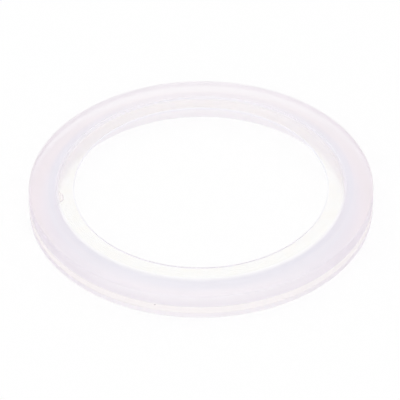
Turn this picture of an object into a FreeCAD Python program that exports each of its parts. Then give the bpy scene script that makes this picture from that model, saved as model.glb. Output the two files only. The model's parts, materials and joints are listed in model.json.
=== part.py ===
# Bowl gasket: one moulded ring of clear silicone rubber for the hole in the floor of a drinks bowl.
# The edge of the hole sits in the groove round the outside, between two flanges of one diameter.
# The thin lip that reaches inwards, just under the top face, wipes on what stands in the bore.
#
# Frame: millimetres, +Z up along the ring's axis, origin at the centre of the bottom face.

import FreeCAD, Part
import os
import Sketcher

NODE = "bowl_gasket"

# Each size of the gasket, written once: its name, its value and what it measures
SIZES = (
    ("neck_diameter", 137.6, "diameter at the bottom of the groove, which the bowl's hole sits on"),
    ("groove_depth", 7.4, "how far both flanges stand out past the neck"),
    ("wall_thickness", 4.6, "from the neck in to the bore"),
    ("lip_width", 8.0, "how far the lip reaches in from the bore"),
    ("lower_flange", 2.9, "height of the flange below the groove"),
    ("groove_width", 3.2, "opening of the groove, along the axis"),
    ("upper_flange", 5.9, "height of the flange above the groove"),
    ("lip_drop", 0.5, "from the top face down to the lip"),
    ("lip_thickness", 1.2, "thickness of the lip"),
    ("flange_round", 0.6, "radius of the flanges' outermost edges"),
    ("groove_mouth_round", 0.3, "radius of the two edges at the groove's mouth"),
    ("groove_root_fillet", 0.4, "radius in the two corners of the groove"),
    ("bore_foot_round", 0.3, "radius of the wall's bottom inside edge"),
    ("step_round", 0.2, "radius of the edge above the lip and of the corner below it"),
    ("lip_root_fillet", 0.8, "radius in the corner under the lip"),
    ("lip_edge_round", 0.25, "radius of the lip's two free edges"),
)

# Heights above the bottom face and radii from the axis, as sums of the sizes
GROOVE_ROOF = "sizes.lower_flange + sizes.groove_width"
TOP = GROOVE_ROOF + " + sizes.upper_flange"
LIP_TOP = TOP + " - sizes.lip_drop"
LIP_UNDERSIDE = LIP_TOP + " - sizes.lip_thickness"
NECK = "sizes.neck_diameter / 2"
OUTSIDE = NECK + " + sizes.groove_depth"
BORE = NECK + " - sizes.wall_thickness"
LIP = BORE + " - sizes.lip_width"

# The section's sides in order round it, level and upright by turns, from the bottom face outwards.
# Each has its height if it is level, or its radius if it is upright.
SIDES = (
    ("bottom_face", "0"),
    ("lower_flange_face", OUTSIDE),
    ("groove_floor", "sizes.lower_flange"),
    ("groove_neck", NECK),
    ("groove_roof", GROOVE_ROOF),
    ("upper_flange_face", OUTSIDE),
    ("top_face", TOP),
    ("step", BORE),
    ("lip_top", LIP_TOP),
    ("lip_edge", LIP),
    ("lip_underside", LIP_UNDERSIDE),
    ("bore", BORE),
)
SIDE_NAMES = [name for name, _ in SIDES]

# Each set of rounds: its name, the side that each of its edges starts, and its radius.
# A narrow side has a round at each end, and neither takes more than this share of it.
SHARE = "0.45"
ROUNDS = (
    ("flange_rounds", ("lower_flange_face", "top_face"), "sizes.flange_round"),
    (
        "groove_mouth_rounds",
        ("groove_floor", "upper_flange_face"),
        f"min(sizes.groove_mouth_round; {SHARE} * sizes.groove_depth)",
    ),
    (
        "groove_root_fillets",
        ("groove_neck", "groove_roof"),
        f"min(sizes.groove_root_fillet; {SHARE} * sizes.groove_depth; {SHARE} * sizes.groove_width)",
    ),
    ("bore_foot_round", ("bottom_face",), "sizes.bore_foot_round"),
    ("step_rounds", ("step", "lip_top"), f"min(sizes.step_round; {SHARE} * sizes.lip_drop)"),
    (
        "lip_edge_rounds",
        ("lip_edge", "lip_underside"),
        f"min(sizes.lip_edge_round; {SHARE} * sizes.lip_thickness)",
    ),
    ("lip_root_fillet", ("bore",), "sizes.lip_root_fillet"),
)

SAME_PLACE = 1e-5


def add_sizes(doc):
    """The spreadsheet of sizes, one to a row."""
    sheet = doc.addObject("Spreadsheet::Sheet", "sizes")
    for row, (name, value, meaning) in enumerate(SIZES, start=1):
        sheet.set(f"A{row}", meaning)
        sheet.set(f"B{row}", str(value))
        sheet.setAlias(f"B{row}", name)
    doc.recompute()


def corner(doc, side):
    """Where a side of the section starts, as (radius, height)."""
    number = SIDE_NAMES.index(side)
    before, own = (doc.sizes.evalExpression(SIDES[i][1]) for i in (number - 1, number))
    level = number % 2 == 0
    return (before, own) if level else (own, before)


def add_section(doc, body):
    """The ring's half section: a wall with a groove outside and a lip inside."""
    sketch = body.newObject("Sketcher::SketchObject", "section")
    plane = next(f for f in body.Origin.OriginFeatures if f.Role == "XZ_Plane")
    sketch.AttachmentSupport = (plane, [""])
    sketch.MapMode = "FlatFace"

    points = [FreeCAD.Vector(*corner(doc, side), 0) for side in SIDE_NAMES]
    for start, end in zip(points, points[1:] + points[:1]):
        sketch.addGeometry(Part.LineSegment(start, end), False)

    radial_axis = -1
    origin = (-1, 1)
    for i, (side, place) in enumerate(SIDES):
        following = (i + 1) % len(SIDES)
        sketch.addConstraint(Sketcher.Constraint("Coincident", i, 2, following, 1))
        level = i % 2 == 0
        sketch.addConstraint(Sketcher.Constraint("Horizontal" if level else "Vertical", i))
        if side == "bottom_face":
            sketch.addConstraint(Sketcher.Constraint("PointOnObject", i, 1, radial_axis))
            continue
        kind = "DistanceY" if level else "DistanceX"
        value = points[i].y if level else points[i].x
        place_of_side = sketch.addConstraint(Sketcher.Constraint(kind, *origin, i, 1, value))
        sketch.renameConstraint(place_of_side, side)
        sketch.setExpression(f"Constraints.{side}", place)
    doc.recompute()
    return sketch


def add_ring(doc, body, sketch):
    """The section turned once round the axis."""
    ring = body.newObject("PartDesign::Revolution", "ring")
    ring.Profile = sketch
    ring.ReferenceAxis = (sketch, ["V_Axis"])
    ring.Angle = 360
    doc.recompute()
    return ring


def edges_where(doc, shape, sides):
    """The names of the round edges where the given sides of the section start."""
    found = []
    for side in sides:
        radius, height = corner(doc, side)
        names = [
            f"Edge{number}"
            for number, edge in enumerate(shape.Edges, start=1)
            if isinstance(edge.Curve, Part.Circle)
            and abs(edge.Curve.Radius - radius) < SAME_PLACE
            and abs(edge.Curve.Center.z - height) < SAME_PLACE
        ]
        if not names:
            raise RuntimeError(f"no edge where {side} starts")
        found += names
    return found


def add_rounds(doc, body, base):
    """A fillet for each set of rounds, each on the shape that the one before leaves."""
    for name, sides, radius in ROUNDS:
        fillet = body.newObject("PartDesign::Fillet", name)
        fillet.Base = (base, edges_where(doc, base.Shape, sides))
        fillet.setExpression("Radius", radius)
        doc.recompute()
        base = fillet
    return base


def check(doc, body):
    """Stops the macro before a file is written if anything in the document failed."""
    for item in doc.Objects:
        if {"Invalid", "Error"} & set(item.State):
            raise RuntimeError(f"{item.Label} failed: {item.State}")
    if body.Shape.isNull() or not body.Shape.isValid() or len(body.Shape.Solids) != 1:
        raise RuntimeError(f"{body.Label} is not one valid solid")


def main():
    doc = FreeCAD.newDocument(NODE)
    add_sizes(doc)
    body = doc.addObject("PartDesign::Body", NODE)
    body.Label = NODE
    section = add_section(doc, body)
    ring = add_ring(doc, body, section)
    body.Tip = add_rounds(doc, body, ring)
    doc.recompute()
    check(doc, body)

    os.makedirs("parts", exist_ok=True)
    body.Shape.exportStep(f"parts/{body.Label}.step")
    box = body.Shape.optimalBoundingBox(False, False)
    print(f"{body.Label}: {box.XLength:.2f} x {box.YLength:.2f} x {box.ZLength:.2f} mm")
    print(f"volume {body.Shape.Volume:.1f} mm3, {len(body.Shape.Faces)} faces")


main()
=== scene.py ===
# Looks of the bowl gasket: a ring of clear, slightly milky silicone rubber on a white table.
# Metres, +Z up along the ring's axis, origin at the centre of the bottom face, as in the frame.

import json
import math
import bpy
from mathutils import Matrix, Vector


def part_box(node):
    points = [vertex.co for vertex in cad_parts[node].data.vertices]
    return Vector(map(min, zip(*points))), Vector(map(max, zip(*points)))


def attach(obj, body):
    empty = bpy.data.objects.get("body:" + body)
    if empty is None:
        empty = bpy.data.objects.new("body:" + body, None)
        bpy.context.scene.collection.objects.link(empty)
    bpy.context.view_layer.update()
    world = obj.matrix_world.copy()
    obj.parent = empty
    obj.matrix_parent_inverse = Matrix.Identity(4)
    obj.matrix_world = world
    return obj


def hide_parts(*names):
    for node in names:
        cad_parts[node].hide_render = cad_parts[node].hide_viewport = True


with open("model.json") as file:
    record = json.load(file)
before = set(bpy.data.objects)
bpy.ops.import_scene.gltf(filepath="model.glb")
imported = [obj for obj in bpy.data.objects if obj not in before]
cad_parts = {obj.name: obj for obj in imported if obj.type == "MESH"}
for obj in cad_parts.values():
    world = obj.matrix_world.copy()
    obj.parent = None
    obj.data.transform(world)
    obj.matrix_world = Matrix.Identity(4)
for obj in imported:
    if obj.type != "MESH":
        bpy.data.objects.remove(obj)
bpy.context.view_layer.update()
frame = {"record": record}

from types import SimpleNamespace

import bmesh
import bpy
from mathutils import Matrix, Vector

NODE = "bowl_gasket"
BODY = "root"
MM = 0.001


# Sizes of the ring, from the frame's box and mounts

def mount(name):
    """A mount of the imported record: its height and its radius and length, in metres."""
    found = next(m for m in frame["record"]["mounts"] if m["name"] == name)
    dims = found["dims"]
    return SimpleNamespace(
        height=found["pos_m"][2], radius=dims["r_mm"] * MM, length=dims["length_mm"] * MM
    )


def read_sizes():
    """The section's radii and heights, with the rounds of its corners."""
    low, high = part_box(NODE)
    groove, lip, bore = mount("groove"), mount("lip_hole"), mount("wall_bore")
    lip_edge_round = 0.25 * MM
    lip_half = lip.length / 2 + lip_edge_round
    return SimpleNamespace(
        outside=high[0],
        neck=groove.radius,
        bore=bore.radius,
        lip=lip.radius,
        groove_floor=groove.height - groove.length / 2,
        groove_roof=groove.height + groove.length / 2,
        top=high[2],
        lip_top=lip.height + lip_half,
        lip_under=lip.height - lip_half,
        flange_round=0.6 * MM,
        mouth_round=0.3 * MM,
        root_fillet=0.4 * MM,
        foot_round=0.3 * MM,
        step_round=0.2 * MM,
        lip_root_fillet=0.3 * MM,
        lip_edge_round=lip_edge_round,
    )


SIZES = read_sizes()

# How finely the ring is divided
SEGMENTS = 720
ARC_STEPS = 5
LONGEST_STEP = 2.0 * MM
SUPPORT = 0.08 * MM


def section_corners(s):
    """The section's corners, anticlockwise from the foot of the bore: (radius, height, round)."""
    return (
        (s.bore, 0.0, s.foot_round),
        (s.outside, 0.0, s.flange_round),
        (s.outside, s.groove_floor, s.mouth_round),
        (s.neck, s.groove_floor, s.root_fillet),
        (s.neck, s.groove_roof, s.root_fillet),
        (s.outside, s.groove_roof, s.mouth_round),
        (s.outside, s.top, s.flange_round),
        (s.bore, s.top, s.step_round),
        (s.bore, s.lip_top, s.step_round),
        (s.lip, s.lip_top, s.lip_edge_round),
        (s.lip, s.lip_under, s.lip_edge_round),
        (s.bore, s.lip_under, s.lip_root_fillet),
    )


def corner_arc(before, at, after, size):
    """Points of the arc that rounds a square corner, from the side before it to the side after."""
    into, out = (at - before).normalized(), (after - at).normalized()
    start, centre = at - into * size, at - into * size + out * size
    points = []
    for i in range(ARC_STEPS + 1):
        turn = math.pi / 2 * i / ARC_STEPS
        points.append(centre + (start - centre) * math.cos(turn) + into * size * math.sin(turn))
    return points


def straight_points(start, end):
    """Points between two arcs: one close to each, and the rest evenly spaced."""
    length, along = (end - start).length, (end - start).normalized()
    if length < 3 * SUPPORT:
        return []
    first, last = start + along * SUPPORT, end - along * SUPPORT
    steps = max(1, math.ceil((last - first).length / LONGEST_STEP))
    return [first.lerp(last, i / steps) for i in range(steps + 1)]


def section_points(s):
    """The section as a closed list of (radius, height) points."""
    corners = section_corners(s)
    places = [Vector(c[:2]) for c in corners]
    arcs = [
        corner_arc(places[i - 1], places[i], places[(i + 1) % len(places)], corners[i][2])
        for i in range(len(places))
    ]
    points = []
    for i, arc in enumerate(arcs):
        points += arc
        points += straight_points(arc[-1], arcs[(i + 1) % len(arcs)][0])
    return points


def make_ring():
    """The gasket: the section turned once round the axis."""
    profile = section_points(SIZES)
    rows = len(profile)
    verts, faces = [], []
    for i in range(SEGMENTS):
        angle = 2 * math.pi * i / SEGMENTS
        for p in profile:
            verts.append((p.x * math.cos(angle), p.x * math.sin(angle), p.y))
    for i in range(SEGMENTS):
        this, following = i * rows, (i + 1) % SEGMENTS * rows
        for j in range(rows):
            k = (j + 1) % rows
            faces.append((this + j, following + j, following + k, this + k))
    mesh = bpy.data.meshes.new("ring")
    mesh.from_pydata(verts, [], faces)
    mesh.polygons.foreach_set("use_smooth", [True] * len(faces))
    mesh.update()
    ring = bpy.data.objects.new("ring", mesh)
    bpy.context.scene.collection.objects.link(ring)
    return ring


# A curl of flash on the lip, at the left, where the lip meets the wall
FLASH_MIDDLE = math.radians(-82.8)
FLASH_HALF_LENGTH = math.radians(3.4)
FLASH_REACH = 3.1 * MM
FLASH_WEB_HEIGHT, FLASH_RIM_HEIGHT = 0.08 * MM, 0.38 * MM
FLASH_SUNK = 0.03 * MM


def make_flash():
    """The curl of flash: a thin web that reaches from the wall over the lip to a raised rim."""
    lengthwise, outwards = 36, 16
    rim_at, rim_width = 0.85, 0.1
    shape = bmesh.new()
    layers = [[], []]
    for i in range(lengthwise + 1):
        turn = math.pi * i / lengthwise
        angle = FLASH_MIDDLE - FLASH_HALF_LENGTH * math.cos(turn)
        reach = FLASH_REACH * math.sin(turn) ** 0.7 + FLASH_SUNK
        for j in range(outwards + 1):
            share = j / outwards
            rim = math.exp(-(((share - rim_at) / rim_width) ** 2)) * math.sin(turn) ** 0.5
            height = FLASH_WEB_HEIGHT + (FLASH_RIM_HEIGHT - FLASH_WEB_HEIGHT) * rim
            radius = SIZES.bore + FLASH_SUNK - reach * share
            place = Vector((radius * math.sin(angle), -radius * math.cos(angle), SIZES.lip_top))
            layers[0].append(shape.verts.new(place + Vector((0, 0, height))))
            layers[1].append(shape.verts.new(place - Vector((0, 0, FLASH_SUNK))))

    row = outwards + 1
    for layer in layers:
        for i in range(lengthwise):
            for j in range(outwards):
                k = i * row + j
                shape.faces.new((layer[k], layer[k + row], layer[k + row + 1], layer[k + 1]))
    border = [j for j in range(outwards)]
    border += [i * row + outwards for i in range(lengthwise)]
    border += [lengthwise * row + j for j in range(outwards, 0, -1)]
    border += [i * row for i in range(lengthwise, 0, -1)]
    for this, following in zip(border, border[1:] + border[:1]):
        top, under = layers
        shape.faces.new((top[this], top[following], under[following], under[this]))
    bmesh.ops.recalc_face_normals(shape, faces=shape.faces)
    mesh = bpy.data.meshes.new("flash")
    shape.to_mesh(mesh)
    shape.free()
    mesh.polygons.foreach_set("use_smooth", [True] * len(mesh.polygons))
    flash = bpy.data.objects.new("flash", mesh)
    bpy.context.scene.collection.objects.link(flash)
    return flash


# Materials

def add_node(tree, kind, inputs=None, **properties):
    """A node with its properties set, and each input set to a value or linked to a socket."""
    node = tree.nodes.new(kind)
    for name, value in properties.items():
        setattr(node, name, value)
    for name, value in (inputs or {}).items():
        if isinstance(value, bpy.types.NodeSocket):
            tree.links.new(value, node.inputs[name])
        else:
            node.inputs[name].default_value = value
    return node


def maths(tree, operation, *values):
    """The result of a Math node."""
    node = add_node(tree, "ShaderNodeMath", dict(enumerate(values)), operation=operation)
    return node.outputs["Value"]


def vector_maths(tree, operation, inputs, output="Vector"):
    """The result of a Vector Math node."""
    return add_node(tree, "ShaderNodeVectorMath", inputs, operation=operation).outputs[output]


def ramp(tree, value, start, end, low=0.0, high=1.0):
    """Goes smoothly from low to high while the value goes from start to end."""
    inputs = {
        "Value": value, "From Min": start, "From Max": end, "To Min": low, "To Max": high
    }
    node = add_node(tree, "ShaderNodeMapRange", inputs, interpolation_type="SMOOTHSTEP")
    return node.outputs["Result"]


def noise(tree, place, scale, detail):
    """A cloudy value round 0.5."""
    inputs = {"Vector": place, "Scale": scale, "Detail": detail}
    return add_node(tree, "ShaderNodeTexNoise", inputs).outputs["Fac"]


def mix_tints(tree, factor, first, second):
    """The first tint where the factor is 0, and the second where it is 1."""
    node = add_node(tree, "ShaderNodeMix", {"Factor": factor}, data_type="RGBA")
    for name, tint in (("A", first), ("B", second)):
        if isinstance(tint, bpy.types.NodeSocket):
            tree.links.new(tint, node.inputs[name])
        else:
            node.inputs[name].default_value = (*tint, 1)
    return node.outputs["Result"]


def new_material(name):
    """A material with an empty node tree."""
    material = bpy.data.materials.new(name)
    material.use_nodes = True
    material.node_tree.nodes.clear()
    return material, material.node_tree


def coordinates(tree):
    """Where a point is: its place, its three axes, and its distance and heading from the Z axis."""
    place = add_node(tree, "ShaderNodeTexCoord").outputs["Object"]
    axes = add_node(tree, "ShaderNodeSeparateXYZ", {"Vector": place}).outputs
    level = add_node(tree, "ShaderNodeCombineXYZ", {"X": axes["X"], "Y": axes["Y"]}).outputs[0]
    return SimpleNamespace(
        place=place,
        y=axes["Y"],
        z=axes["Z"],
        radius=vector_maths(tree, "LENGTH", {0: level}, "Value"),
        heading=vector_maths(tree, "NORMALIZE", {0: level}),
    )


# The silicone's tint through its depth
DEPTH_TINT = (0.62, 0.42, 0.67, 1)
DEPTH_DENSITY = 8.5
SILICONE_IOR = 1.41

# The tints of its skin, from the lip's trimmed edge outwards. The lip is cloudy, and the wall has
# streaks.
# The lip's edge is a darker grey-lavender: painted shade for the dark line along it.
PAINTED_EDGE_SHADE_TINT = (0.95, 0.94, 0.985)
LIP_TINT, LIP_CLOUD_TINT = (1.0, 1.0, 0.982), (1.0, 0.993, 0.962)
WALL_TINT, WALL_STREAK_TINT = (1.0, 0.995, 1.0), (0.99, 0.985, 1.0)
NECK_TINT = (0.95, 0.945, 0.965)
FLANGE_TINT = (1.0, 0.985, 0.99)
# A peach tint on the groove's floor by its mouth: painted shade in the groove.
PAINTED_GROOVE_SHADE_TINT = (0.99, 0.955, 0.925)
FLASH_TINT = (0.96, 0.92, 0.95)
SPECK_TINT = (0.4, 0.36, 0.38)

# Where the skin changes, as distances from the axis
AT_EDGE = (SIZES.lip + 0.15 * MM, SIZES.lip + 0.4 * MM)
AT_BORE = (SIZES.bore - 1.6 * MM, SIZES.bore - 0.4 * MM)
AT_STEP = (SIZES.bore + 0.2 * MM, SIZES.bore + 0.6 * MM)
AT_NECK = (SIZES.neck - 2 * MM, SIZES.neck - 0.5 * MM)
AT_MOUTH = (SIZES.neck + 1.5 * MM, SIZES.neck + 4 * MM)

# Specks of dirt: place, radius and darkness
SPECKS = (
    (Vector((-20.0, -70.5, 2.9)) * MM, 0.45 * MM, 1.0),
    (Vector((34.7, -59.4, 12.0)) * MM, 0.4 * MM, 0.15),
)

# Faint flow streaks that run round the ring, and how soon they change on their way
STREAKS_PER_METRE = 1200.0
STREAK_CHANGES = 2.0

CLOUDS_PER_METRE = 170.0
WAVES_PER_METRE, WAVE_HEIGHT = 120.0, 0.1 * MM
GRAIN_PER_METRE, GRAIN_HEIGHT = 2500.0, 0.01 * MM

# The trimmed edge is rougher and less clear than the rest
LIP_ROUGHNESS, WALL_ROUGHNESS = 0.25, 0.35
TRIMMED_EDGE_ROUGHENING = 0.3
STREAK_ROUGHENING = 0.08
TRIMMED_EDGE_CLEARNESS = 0.3


def flow_streaks(tree, at):
    """A value that changes from lane to lane across the section, and slowly round the ring."""
    around = vector_maths(tree, "SCALE", {0: at.heading, "Scale": STREAK_CHANGES})
    across = maths(tree, "MULTIPLY", maths(tree, "ADD", at.radius, at.z), STREAKS_PER_METRE)
    lane = add_node(tree, "ShaderNodeCombineXYZ", {"Z": across}).outputs[0]
    return noise(tree, vector_maths(tree, "ADD", {0: around, 1: lane}), 1.0, 2.0)


def skin_tint_and_painted_shade(tree, at, streaks):
    """The tints one over the other: the section's from the inside out, starting with painted shade
    at the lip's edge, then painted shade in the groove, the flash, the specks.
    """
    clouds = noise(tree, at.place, CLOUDS_PER_METRE, 2.0)
    lip_tint = mix_tints(tree, ramp(tree, clouds, 0.35, 0.7), LIP_TINT, LIP_CLOUD_TINT)
    wall_tint = mix_tints(tree, ramp(tree, streaks, 0.3, 0.7), WALL_TINT, WALL_STREAK_TINT)
    # The tints start from the painted shade at the lip's edge.
    tint = PAINTED_EDGE_SHADE_TINT
    for span, following in (
        (AT_EDGE, lip_tint), (AT_BORE, wall_tint), (AT_STEP, NECK_TINT), (AT_NECK, FLANGE_TINT)
    ):
        tint = mix_tints(tree, ramp(tree, at.radius, *span), tint, following)

    # Painted shade: the groove's floor near its mouth is tinted a darker peach, where shade falls
    # in the groove.
    off_floor = maths(tree, "ABSOLUTE", maths(tree, "SUBTRACT", at.z, SIZES.groove_floor))
    on_floor = ramp(tree, off_floor, 0.3 * MM, 0.1 * MM)
    in_groove_shade = maths(tree, "MULTIPLY", on_floor, ramp(tree, at.radius, *AT_MOUTH))
    tint = mix_tints(tree, in_groove_shade, tint, PAINTED_GROOVE_SHADE_TINT)

    above_lip = ramp(tree, at.z, SIZES.lip_top + 0.02 * MM, SIZES.lip_top + 0.06 * MM)
    in_flash = maths(tree, "MULTIPLY", above_lip, ramp(tree, at.radius, *AT_BORE, 1.0, 0.0))
    tint = mix_tints(tree, in_flash, tint, FLASH_TINT)
    for centre, size, darkness in SPECKS:
        away = vector_maths(tree, "DISTANCE", {0: at.place, 1: centre}, "Value")
        in_speck = ramp(tree, away, size, size / 2, 0.0, darkness)
        tint = mix_tints(tree, in_speck, tint, SPECK_TINT)
    return tint


def skin_roughness(tree, at, streaks):
    """The lip is smoother than the wall, and the streaks differ a little."""
    roughness = maths(tree, "MULTIPLY_ADD", streaks, STREAK_ROUGHENING, -STREAK_ROUGHENING / 2)
    for span, low, high in (
        (AT_EDGE, TRIMMED_EDGE_ROUGHENING, 0.0), (AT_BORE, LIP_ROUGHNESS, WALL_ROUGHNESS)
    ):
        roughness = maths(tree, "ADD", roughness, ramp(tree, at.radius, *span, low, high))
    return roughness


def skin_relief(tree, at):
    """The normal of a skin with low waves and a fine grain."""
    waves = maths(tree, "MULTIPLY", noise(tree, at.place, WAVES_PER_METRE, 0.0), WAVE_HEIGHT)
    grain = maths(tree, "MULTIPLY", noise(tree, at.place, GRAIN_PER_METRE, 1.0), GRAIN_HEIGHT)
    inputs = {"Height": maths(tree, "ADD", waves, grain), "Distance": 1.0}
    return add_node(tree, "ShaderNodeBump", inputs).outputs["Normal"]


def make_silicone():
    """Clear silicone with a moulded, slightly rough skin, tinted lavender through its depth."""
    material, tree = new_material("silicone")
    at = coordinates(tree)
    streaks = flow_streaks(tree, at)
    shader = add_node(
        tree,
        "ShaderNodeBsdfPrincipled",
        {
            "Base Color": skin_tint_and_painted_shade(tree, at, streaks),
            "Roughness": skin_roughness(tree, at, streaks),
            "Normal": skin_relief(tree, at),
            "IOR": SILICONE_IOR,
            "Transmission Weight": ramp(tree, at.radius, *AT_EDGE, TRIMMED_EDGE_CLEARNESS, 1.0),
        },
    )
    depth = add_node(
        tree, "ShaderNodeVolumeAbsorption", {"Color": DEPTH_TINT, "Density": DEPTH_DENSITY}
    )
    add_node(
        tree,
        "ShaderNodeOutputMaterial",
        {"Surface": shader.outputs["BSDF"], "Volume": depth.outputs["Volume"]},
    )
    return material


def seen_directly(tree):
    """1 for rays from the camera, a gloss or a clear body, and 0 for the rest."""
    path = add_node(tree, "ShaderNodeLightPath").outputs
    seen = maths(tree, "MAXIMUM", path["Is Camera Ray"], path["Is Glossy Ray"])
    return maths(tree, "MAXIMUM", seen, path["Is Transmission Ray"])


# The table top, just clear of the ring's bottom face
TABLE_SIDE = 6
TABLE_GAP = 0.1 * MM
TABLE_COLOUR = (0.97, 0.97, 0.97, 1)
PLAIN_SHARE = 0.8

# Under the wall the table has a cool shade, which is half as strong at the left and right as at
# the near and far sides. It shows through the wall.
SHADE_TONE = (0.91, 0.965, 1.0)
SHADE_SOFT_END = 2 * MM
SHADE_GROWS = (10 * MM, 45 * MM)


def shade_under_wall(tree, at):
    """How strong the shade is: 1 under the near and far sides of the wall, and 0 away from it."""
    past_bore = ramp(tree, at.radius, SIZES.bore, SIZES.bore + SHADE_SOFT_END)
    within_neck = ramp(tree, at.radius, SIZES.neck, SIZES.neck + SHADE_SOFT_END, 1.0, 0.0)
    strength = ramp(tree, maths(tree, "ABSOLUTE", at.y), *SHADE_GROWS, 0.5, 1.0)
    return maths(tree, "MULTIPLY", maths(tree, "MULTIPLY", past_bore, within_neck), strength)


def make_floor():
    """A white table top. What is seen of it is mostly plain white, with a little of the shadow."""
    bpy.ops.mesh.primitive_plane_add(size=TABLE_SIDE, location=(0, 0, -TABLE_GAP))
    floor = bpy.context.object
    floor.name = "floor"
    material, tree = new_material("white_table")
    paper = add_node(tree, "ShaderNodeBsdfDiffuse", {"Color": TABLE_COLOUR})
    tone = mix_tints(tree, shade_under_wall(tree, coordinates(tree)), (1, 1, 1), SHADE_TONE)
    white = add_node(tree, "ShaderNodeEmission", {"Color": tone})
    share = maths(tree, "MULTIPLY", seen_directly(tree), PLAIN_SHARE)
    mix = add_node(
        tree,
        "ShaderNodeMixShader",
        {"Fac": share, 1: paper.outputs["BSDF"], 2: white.outputs["Emission"]},
    )
    add_node(tree, "ShaderNodeOutputMaterial", {"Surface": mix.outputs["Shader"]})
    floor.data.materials.append(material)


def make_world():
    """An even, white studio."""
    world = bpy.data.worlds.new("studio")
    bpy.context.scene.world = world
    world.use_nodes = True
    tree = world.node_tree
    tree.nodes.clear()
    light = add_node(tree, "ShaderNodeBackground", {"Color": (1, 1, 1, 1), "Strength": 1.0})
    add_node(tree, "ShaderNodeOutputWorld", {"Surface": light.outputs["Background"]})


def make_lamp(name, place, size, power):
    """A square softbox that faces the ring."""
    lamp = bpy.data.lights.new(name, "AREA")
    lamp.shape = "SQUARE"
    lamp.size = size
    lamp.energy = power
    holder = bpy.data.objects.new(name, lamp)
    holder.location = place
    holder.rotation_mode = "QUATERNION"
    holder.rotation_quaternion = (-Vector(place)).to_track_quat("-Z", "Y")
    bpy.context.scene.collection.objects.link(holder)


# The photograph's camera. Its pixels are those of a square frame of this side.
FRAME_PIXELS = 400
ELEVATION = math.radians(38.77)
ROLL = math.radians(-0.43)
FOCAL_PIXELS = 3000
RIM_CENTRE_PIXEL = (200.94, 183.97)
OUTER_RADIUS_PIXELS = 172.3
SENSOR = 36


def make_camera():
    """A long lens, level with the photograph's, that puts the top face's centre on its pixel."""
    pixel = SIZES.outside / OUTER_RADIUS_PIXELS
    forward = Vector((0, math.cos(ELEVATION), -math.sin(ELEVATION)))
    level_up = Vector((0, math.sin(ELEVATION), math.cos(ELEVATION)))
    level_right = Vector((1, 0, 0))
    right = level_right * math.cos(ROLL) + level_up * math.sin(ROLL)
    up = level_up * math.cos(ROLL) - level_right * math.sin(ROLL)

    rim_centre = Vector((0, 0, SIZES.top))
    place = rim_centre - forward * FOCAL_PIXELS * pixel
    off_right = RIM_CENTRE_PIXEL[0] - FRAME_PIXELS / 2
    off_up = FRAME_PIXELS / 2 - RIM_CENTRE_PIXEL[1]
    aim = rim_centre - (right * off_right + up * off_up) * pixel
    back = (place - aim).normalized()
    side = up.cross(back).normalized()

    camera = bpy.data.cameras.new("camera")
    camera.sensor_width = SENSOR
    camera.lens = SENSOR * FOCAL_PIXELS / FRAME_PIXELS
    camera.clip_start, camera.clip_end = 0.1, 20
    holder = bpy.data.objects.new("camera", camera)
    axes = Matrix((side, back.cross(side), back)).transposed()
    holder.matrix_world = Matrix.Translation(place) @ axes.to_4x4()
    bpy.context.scene.collection.objects.link(holder)
    bpy.context.scene.camera = holder


silicone = make_silicone()
ring = make_ring()
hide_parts(NODE)
flash = make_flash()
for piece in (ring, flash):
    piece.data.materials.append(silicone)
    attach(piece, BODY)

make_floor()
make_world()
make_lamp("key_softbox", (-0.7, -0.5, 1.1), size=0.9, power=0.5)
make_camera()
bpy.context.scene.view_settings.view_transform = "Standard"

# Light goes from face to face many times inside a clear ring. With few bounces, or with the filter
# that widens gloss after the first, the ring would be dark inside.
BOUNCES = 64
cycles = bpy.context.scene.cycles
cycles.max_bounces = cycles.glossy_bounces = cycles.transmission_bounces = BOUNCES
cycles.blur_glossy = 0.0
